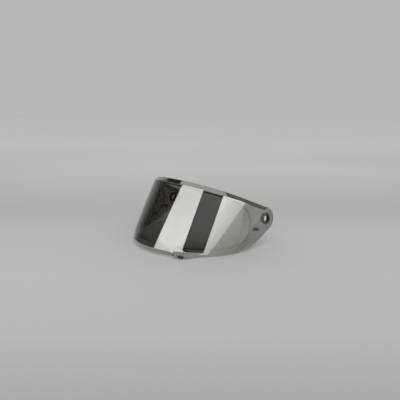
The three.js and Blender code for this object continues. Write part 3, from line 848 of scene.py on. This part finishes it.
def paintRimLight(bush, seat):
    # Painted light: the rim's outer face gets a lighter grey nylon, as it looks where light falls on it, and
    # its side a paler grey as a painted highlight; the cup inside keeps the black nylon
    bush.data.materials.append(litRimNylon)
    bush.data.materials.append(greyRubber)
    rimLow = pivot["gasketThickness"] + 2 * pivot["gap"]
    cupRadius = pivot["sleeveRadius"] - pivot["sleeveWall"]
    sideRadius = pivot["rimRadius"] - pivot["rimEdge"] / 2
    inverse = seat.inverted()
    for face in bush.data.polygons:
        at = inverse @ face.center
        across = math.hypot(at.x, at.y)
        if across > cupRadius and at.z > rimLow:
            face.material_index = 2 if across > sideRadius else 1


def makePivot(name, side):
    seat = seatMatrix(side * (sheet["pivotArc"] - shell["pivotInset"]), sheet["earRise"])
    hole, gap = pivot["sleeveRadius"] + pivot["gap"], pivot["gap"]
    ringLow = -sheet["thickness"] - gap - pivot["ringThickness"]
    ringHigh = ringLow + pivot["ringThickness"]
    gasketRadius = pivot["rimRadius"] + pivot["gasketProud"]
    gasket = ringProfile(hole, gasketRadius, gap, gap + pivot["gasketThickness"], pivot["gasketEdge"])
    backRing = ringProfile(hole, pivot["ringRadius"], ringLow, ringHigh, pivot["ringEdge"])
    parts = (
        ("pivotBush", "pivot_bush", bushProfile(), nylon, "black_nylon"),
        ("pivotGasket", "pivot_gasket", gasket, greyRubber, "black_rubber"),
        ("pivotRing", "pivot_ring", backRing, nylon, "black_nylon"),
    )
    for piece, node, profile, material, slot in parts:
        made = turnedPiece(piece + name, profile, pivot["sides"], seat, pivot["bevel"])
        made.data.materials.append(material)
        smoothByAngle(made)
        if piece == "pivotBush":
            paintRimLight(made, seat)
        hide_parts(f"{node}_{name.lower()}")
        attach(made, "visor")


# Insert pins: an off-centre collar and a flange inside, a shank through the sheet, a slotted cap outside
pin = {
    "shankRadius": 0.0018,
    "collarRadius": 0.0023,
    "throw": 0.0005,
    "flangeRadius": 0.0038,
    "flangeHeight": 0.0011,
    "tipHeight": 0.0007,
    "capRadius": 0.0031,
    "capHeight": 0.0016,
    "capEdge": 0.0005,
    "slotWidth": 0.0011,
    "slotDepth": 0.0004,
    "washerThickness": 0.0005,
    "washerProud": 0.0003,
    "washerEdge": 0.0001,
    "axisRadius": 0.00002,  # a turned form can't start from no width
    "gap": 0.0003,
    "bevel": 0.0001,
    "wideBevel": 0.0002,
    "sides": 64,
}


def makePin(name, side):
    seat = seatMatrix(side * shell["pinArc"], -shell["pinDrop"])
    gap, sides = pin["gap"], pin["sides"]
    collarTop = -sheet["thickness"] - gap
    collarLow = -sheet["thickness"] - insert["airGap"] - insert["thickness"] - gap
    capLow = pin["washerThickness"] + 2 * gap
    capHigh = capLow + pin["capHeight"]
    shankTop = capLow + pin["tipHeight"]
    middle = collarLow - pin["flangeHeight"] / 2
    low = collarLow - pin["flangeHeight"]
    upright = Matrix.Identity(4)
    aside = Matrix.Translation((side * pin["throw"], 0, 0))

    def rod(title, radius, start, end, matrix, edge):
        return turnedPiece(title, [(radius, start), (radius, end)], sides, matrix, edge)

    body = rod("insertPin" + name, pin["flangeRadius"], low, collarLow, upright, pin["wideBevel"])
    collar = rod("collar", pin["collarRadius"], middle, collarTop, aside, pin["bevel"])
    shank = rod("shank", pin["shankRadius"], middle, shankTop, upright, pin["wideBevel"])
    boolean(body, collar, "UNION")
    boolean(body, shank, "UNION")
    place(body, seat)

    bore, floor = pin["shankRadius"] + gap, shankTop + gap
    axis, rim, edge = pin["axisRadius"], pin["capRadius"], pin["capEdge"]
    profile = [(axis, floor), (bore, floor), (bore, capLow), (rim, capLow),
               (rim, capHigh - edge), (rim - edge, capHigh), (axis, capHigh)]
    cap = turnedPiece("pinCap" + name, profile, sides, upright, pin["bevel"])
    deselectAll()
    bpy.ops.mesh.primitive_cube_add(size=1)
    slotSize = Matrix.Diagonal((3 * rim, pin["slotWidth"], 2 * pin["slotDepth"], 1))
    boolean(cap, place(bpy.context.object, Matrix.Translation((0, 0, capHigh)) @ slotSize))
    place(cap, seat)

    profile = ringProfile(bore, rim + pin["washerProud"], gap, gap + pin["washerThickness"], pin["washerEdge"])
    washer = turnedPiece("pinWasher" + name, profile, sides, seat, 0)
    rides = "pin_" + name.lower()
    for made, node, material, slot, rider in (
        (body, "insert_pin", pinPlastic, "pin_plastic", rides),
        (cap, "pin_cap", pinPlastic, "pin_plastic", rides),
        (washer, "pin_washer", greyRubber, "black_rubber", "visor"),
    ):
        made.data.materials.clear()
        made.data.materials.append(material)
        smoothByAngle(made)
        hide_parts(f"{node}_{name.lower()}")
        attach(made, rider)


for name, side in (("Left", 1), ("Right", -1)):
    makePivot(name, side)
    makePin(name, side)
print("pivots and pins made")

# Lock: slider, guide, screws and spring behind the tab
spring = {
    "wire": 0.0002,
    "wireSides": 12,
    "radius": 0.0011,
    "turns": 3,
    "turnSteps": 32,
    "room": 0.005,
    "depth": 0.005,
}
for piece, node, material, slot, rider, edge in (
    ("lockSlider", "lock_slider", nylon, "black_nylon", "slider", 0.00018),
    ("lockGuide", "lock_guide", nylon, "black_nylon", "visor", 0.00015),
    ("guideScrewFront", "guide_screw_front", zincSteel, "zinc_steel", "visor", 0.00008),
    ("guideScrewRear", "guide_screw_rear", zincSteel, "zinc_steel", "visor", 0.00008),
):
    made = roundedCopy(piece, node, edge)
    made.data.materials.clear()
    made.data.materials.append(material)
    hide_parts(node)
    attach(made, rider)


def makeSpring(length, start):
    # A wire section swept by a screw about the lock's X
    deselectAll()
    bpy.ops.mesh.primitive_circle_add(vertices=spring["wireSides"], radius=spring["wire"], fill_type="NGON")
    piece = bpy.context.object
    piece.name = "lockSpring"
    edit(
        piece,
        lambda: bpy.ops.transform.rotate(value=math.pi / 2, orient_axis="X", center_override=(0, 0, 0)),
        lambda: bpy.ops.transform.translate(value=(spring["radius"], 0, 0)),
    )
    modifier = piece.modifiers.new("coil", "SCREW")
    modifier.axis, modifier.screw_offset, modifier.iterations = "Z", length / spring["turns"], spring["turns"]
    modifier.steps = modifier.render_steps = spring["turnSteps"]
    finishModifier(piece, modifier)
    edit(
        piece,
        lambda: bpy.ops.mesh.remove_doubles(threshold=fineWeldDistance),
        lambda: bpy.ops.mesh.normals_make_consistent(inside=False),
    )
    turn = Matrix.Rotation(-math.pi / 2, 4, "Y")
    place(piece, lockSeat @ Matrix.Translation((start, -lock["screwDrop"], -spring["depth"])) @ turn)
    piece.data.materials.append(zincSteel)
    smoothByAngle(piece, 60)
    return piece


springLength = spring["room"] - 2 * lock["gap"] - 2 * spring["wire"]
springStart = -lock["sliderWidth"] / 2 - lock["gap"] - spring["wire"]
lockSpring = makeSpring(springLength, springStart)
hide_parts("lock_spring")
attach(lockSpring, "visor")
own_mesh(lockSpring)
print("lock made")

# Camera: found with the sheet's form from both pivots, both pins and all edges of the photograph
view = {
    "azimuth": math.radians(45.09),
    "elevation": math.radians(13.16),
    "focal": 367.7 / 400,  # in widths of the picture
    "distance": 0.65789,
    "target": (0.0, 0.0, 0.057),
    "right": 0.0251,
    "up": 0.01321,
    "sensor": 36,
    "clip": (0.01, 50),
}

# Studio: pale floor and backdrop, cards that only reflections see, and a soft lamp that they don't
studio = {
    "paleColour": (0.48, 0.48, 0.471),
    "lightColour": (0.82, 0.82, 0.81),
    "roomColour": (0.0095, 0.0068, 0.0025),
    "floorTint": (1, 1, 0.981),
    "floorSpan": (-0.4, 2.0),
    "floorLightLevels": ((0.0, 0.42), (0.04, 0.51), (0.1, 0.53), (0.18, 0.524), (0.257, 0.468), (0.32, 0.508),
                    (0.49, 0.572), (0.95, 0.636)),
    "roomFloor": 0.21,
    "floorFade": (0.11, 0.23),
    "floorGrainScale": 1.5,
    "floorGrain": (0.97, 1.03),
    "floorRoughness": 0.8,
    "floorSpecular": 0.1,
    "floorSize": 60.0,
    "floorCells": 40,
    "cardRadius": 1.2,
    "ceilingHeight": 1.6,
    "ceilingCells": 8,
    "cardCells": (32, 8),
}
topLamp = {
    "location": (0.3, -0.4, 1.5),
    "target": (0, 0, 0),
    "size": 1.4,
    "power": 3.5,
}


def stageMaterial(name, colour, level, fade=None):
    # Plain glow; fade gives an axis, the two places and the two levels between which it changes,
    # and the power of its curve
    material, shader = newMaterial(name)
    shader.inputs["Base Color"].default_value = (0, 0, 0, 1)
    shader.inputs["Emission Color"].default_value = (*colour, 1)
    shader.inputs["Emission Strength"].default_value = level
    shader.inputs["Roughness"].default_value = 1.0
    shader.inputs["Specular IOR Level"].default_value = 0.0
    if fade:
        axis, start, end, first, last, curve = fade
        tree = material.node_tree
        coords = addNode(tree, "ShaderNodeTexCoord")
        parts = addNode(tree, "ShaderNodeSeparateXYZ")
        tree.links.new(coords.outputs["Object"], parts.inputs["Vector"])
        along = mapRange(tree, parts.outputs[axis], 0.0, 1.0, start, end)
        power = addNode(tree, "ShaderNodeMath", operation="POWER")
        power.inputs[1].default_value = curve
        tree.links.new(along, power.inputs[0])
        tree.links.new(mapRange(tree, power.outputs[0], first, last), shader.inputs["Emission Strength"])
    return material


def addCard(name, points, material):
    card = formGrid(name, points)
    card.data.materials.append(material)
    card.visible_camera = card.visible_diffuse = card.visible_shadow = card.visible_transmission = False


def roundCard(name, left, right, low, high, material):
    # A curved card round the object; left and right give its azimuths at the low and the high edge
    across, up = studio["cardCells"]
    u, v = np.meshgrid(np.linspace(0, 1, across + 1), np.linspace(0, 1, up + 1), indexing="ij")
    leftAzimuth = left[0] + (left[1] - left[0]) * v
    rightAzimuth = right[0] + (right[1] - right[0]) * v
    azimuth = np.radians(leftAzimuth * (1 - u) + rightAzimuth * u)
    radius = studio["cardRadius"]
    points = np.stack([radius * np.sin(azimuth), -radius * np.cos(azimuth), low + (high - low) * v], -1)
    addCard(name, points, material)


def ceilingCard(name, xs, ys, material):
    count = studio["ceilingCells"] + 1
    x, y = np.meshgrid(np.linspace(*xs, count), np.linspace(*ys, count), indexing="ij")
    addCard(name, np.stack([x, y, 0 * x + studio["ceilingHeight"]], -1), material)


white, warm, brown, cream = (1, 1, 0.985), (1, 0.98, 0.87), (1, 0.9, 0.82), (1, 1, 0.96)
roundCards = {
    "front": {"left": (-22.2, -7.2), "right": (31.4, 47.0), "heights": (0.575, 1.39),
              "colour": white, "level": 0.93, "fade": ("Z", 0.575, 1.0, 1.11, 0.88, 1.0)},
    "lowFront": {"left": (-27.0, -22.2), "right": (25.7, 31.4), "heights": (0.28, 0.575),
                 "colour": white, "level": 0.9, "fade": ("Z", 0.54, 0.575, 0.88, 0.98, 1.0)},
    "side": {"left": (60.6, 79.9), "right": (114, 114), "heights": (0.262, 0.75),
             "colour": white, "level": 1.0, "fade": ("Z", 0.262, 0.56, 0.66, 1.07, 1.0)},
    "wall": {"left": (62, 62), "right": (104.5, 104.5), "heights": (-0.5, 0.262),
             "colour": warm, "level": 0.3, "fade": ("Z", 0.0, 0.262, 0.26, 0.38, 1.0)},
    "rearWall": {"left": (104.5, 104.5), "right": (200, 200), "heights": (-0.5, 0.262),
                 "colour": warm, "level": 0.25, "fade": ("Z", 0.0, 0.2, 0.29, 0.235, 1.0)},
    "brown": {"left": (114.5, 114.5), "right": (200, 200), "heights": (0.262, 2.2),
              "colour": brown, "level": 0.1, "fade": None},
    "left": {"left": (-175, -175), "right": (-66, -66), "heights": (-0.6, 1.0),
             "colour": white, "level": 0.3, "fade": ("Y", -0.45, 0.53, 0.0, 0.39, 1.3)},
}
for title, card in roundCards.items():
    glow = stageMaterial(f"{title}Glow", card["colour"], card["level"], card["fade"])
    roundCard(f"{title}Card", card["left"], card["right"], *card["heights"], glow)
ceilingCard("overCard", (-0.65, 2.1), (-1.25, 0.46), stageMaterial("overGlow", cream, 0.31))


def makeFloor():
    # A pale table; its colour changes softly from its near edge to the backdrop as painted light,
    # darker near and lighter far, with a shallow band of painted shade behind the visor
    deselectAll()
    cells = studio["floorCells"]
    bpy.ops.mesh.primitive_grid_add(x_subdivisions=cells, y_subdivisions=cells, size=studio["floorSize"])
    floor = bpy.context.object
    floor.name = "floor"
    material, shader = newMaterial("paleTable")
    tree = material.node_tree
    link = tree.links.new
    coords = addNode(tree, "ShaderNodeTexCoord")
    noise = addNode(tree, "ShaderNodeTexNoise", Scale=studio["floorGrainScale"], Detail=2.0)
    link(coords.outputs["Object"], noise.inputs["Vector"])
    away = addNode(tree, "ShaderNodeVectorMath", operation="DOT_PRODUCT")
    away.inputs[1].default_value = (-math.sin(view["azimuth"]), math.cos(view["azimuth"]), 0)
    link(coords.outputs["Object"], away.inputs[0])
    # Painted light on the table: its colour ramps lighter away from the camera, with a dip of painted shade
    # behind the visor
    ramp = addNode(tree, "ShaderNodeValToRGB")
    link(mapRange(tree, away.outputs["Value"], 0.0, 1.0, *studio["floorSpan"]), ramp.inputs["Fac"])
    stops = ramp.color_ramp.elements
    while len(stops) < len(studio["floorLightLevels"]):
        stops.new(0.5)
    for stop, (at, level) in zip(stops, studio["floorLightLevels"]):
        stop.position = at
        stop.color = (*[level * c for c in studio["floorTint"]], 1)
    grain = addNode(tree, "ShaderNodeMix", data_type="RGBA", blend_type="MULTIPLY")
    grain.inputs[0].default_value = 1.0
    link(ramp.outputs["Color"], grain.inputs[6])
    link(mapRange(tree, noise.outputs["Fac"], *studio["floorGrain"]), grain.inputs[7])
    # In reflections the table darkens away from the visor, as the unlit room does
    inRoom = addNode(tree, "ShaderNodeMix", data_type="RGBA")
    inRoom.inputs[7].default_value = (*[studio["roomFloor"] * c for c in studio["floorTint"]], 1)
    distance = addNode(tree, "ShaderNodeVectorMath", operation="LENGTH")
    link(coords.outputs["Object"], distance.inputs[0])
    path = addNode(tree, "ShaderNodeLightPath")
    reflected = addNode(tree, "ShaderNodeMath", operation="MULTIPLY")
    link(path.outputs["Is Glossy Ray"], reflected.inputs[0])
    link(mapRange(tree, distance.outputs["Value"], 0.0, 1.0, *studio["floorFade"]), reflected.inputs[1])
    link(reflected.outputs[0], inRoom.inputs[0])
    link(grain.outputs[2], inRoom.inputs[6])
    link(inRoom.outputs[2], shader.inputs["Base Color"])
    shader.inputs["Roughness"].default_value = studio["floorRoughness"]
    shader.inputs["Specular IOR Level"].default_value = studio["floorSpecular"]
    floor.data.materials.append(material)


makeFloor()


def makeWorld():
    # Pale to the camera, a dark room to reflections, and plain soft light to all else
    world = bpy.data.worlds.new("studio")
    bpy.context.scene.world = world
    world.use_nodes = True
    tree = world.node_tree
    tree.nodes.clear()
    path = addNode(tree, "ShaderNodeLightPath")
    light, room, pale = [
        addNode(tree, "ShaderNodeBackground", Color=(*studio[key], 1), Strength=1.0)
        for key in ("lightColour", "roomColour", "paleColour")
    ]
    inRoom, seen = addNode(tree, "ShaderNodeMixShader"), addNode(tree, "ShaderNodeMixShader")
    tree.links.new(path.outputs["Is Glossy Ray"], inRoom.inputs[0])
    tree.links.new(light.outputs[0], inRoom.inputs[1])
    tree.links.new(room.outputs[0], inRoom.inputs[2])
    tree.links.new(path.outputs["Is Camera Ray"], seen.inputs[0])
    tree.links.new(inRoom.outputs[0], seen.inputs[1])
    tree.links.new(pale.outputs[0], seen.inputs[2])
    output = addNode(tree, "ShaderNodeOutputWorld")
    tree.links.new(seen.outputs[0], output.inputs["Surface"])


makeWorld()


def softLamp(name, location, target, size, power):
    data = bpy.data.lights.new(name, "AREA")
    data.shape, data.size, data.energy = "DISK", size, power
    lamp = bpy.data.objects.new(name, data)
    bpy.context.collection.objects.link(lamp)
    lamp.location = location
    lamp.rotation_euler = (Vector(target) - Vector(location)).to_track_quat("-Z", "Y").to_euler()
    lamp.visible_glossy = False


softLamp("topLamp", **topLamp)


def makeCamera():
    a, e = view["azimuth"], view["elevation"]
    back = Vector((math.sin(a) * math.cos(e), -math.cos(a) * math.cos(e), math.sin(e)))
    right = Vector((math.cos(a), math.sin(a), 0))
    up = back.cross(right)
    data = bpy.data.cameras.new("camera")
    camera = bpy.data.objects.new("camera", data)
    bpy.context.collection.objects.link(camera)
    aim = Vector(view["target"]) + right * view["right"] + up * view["up"]
    camera.location = aim + back * view["distance"]
    camera.rotation_euler = (-back).to_track_quat("-Z", "Y").to_euler()
    data.sensor_width = view["sensor"]
    data.lens = view["sensor"] * view["focal"]
    data.clip_start, data.clip_end = view["clip"]
    bpy.context.scene.camera = camera


makeCamera()
bpy.context.scene.view_settings.view_transform = "Standard"
print("studio made")
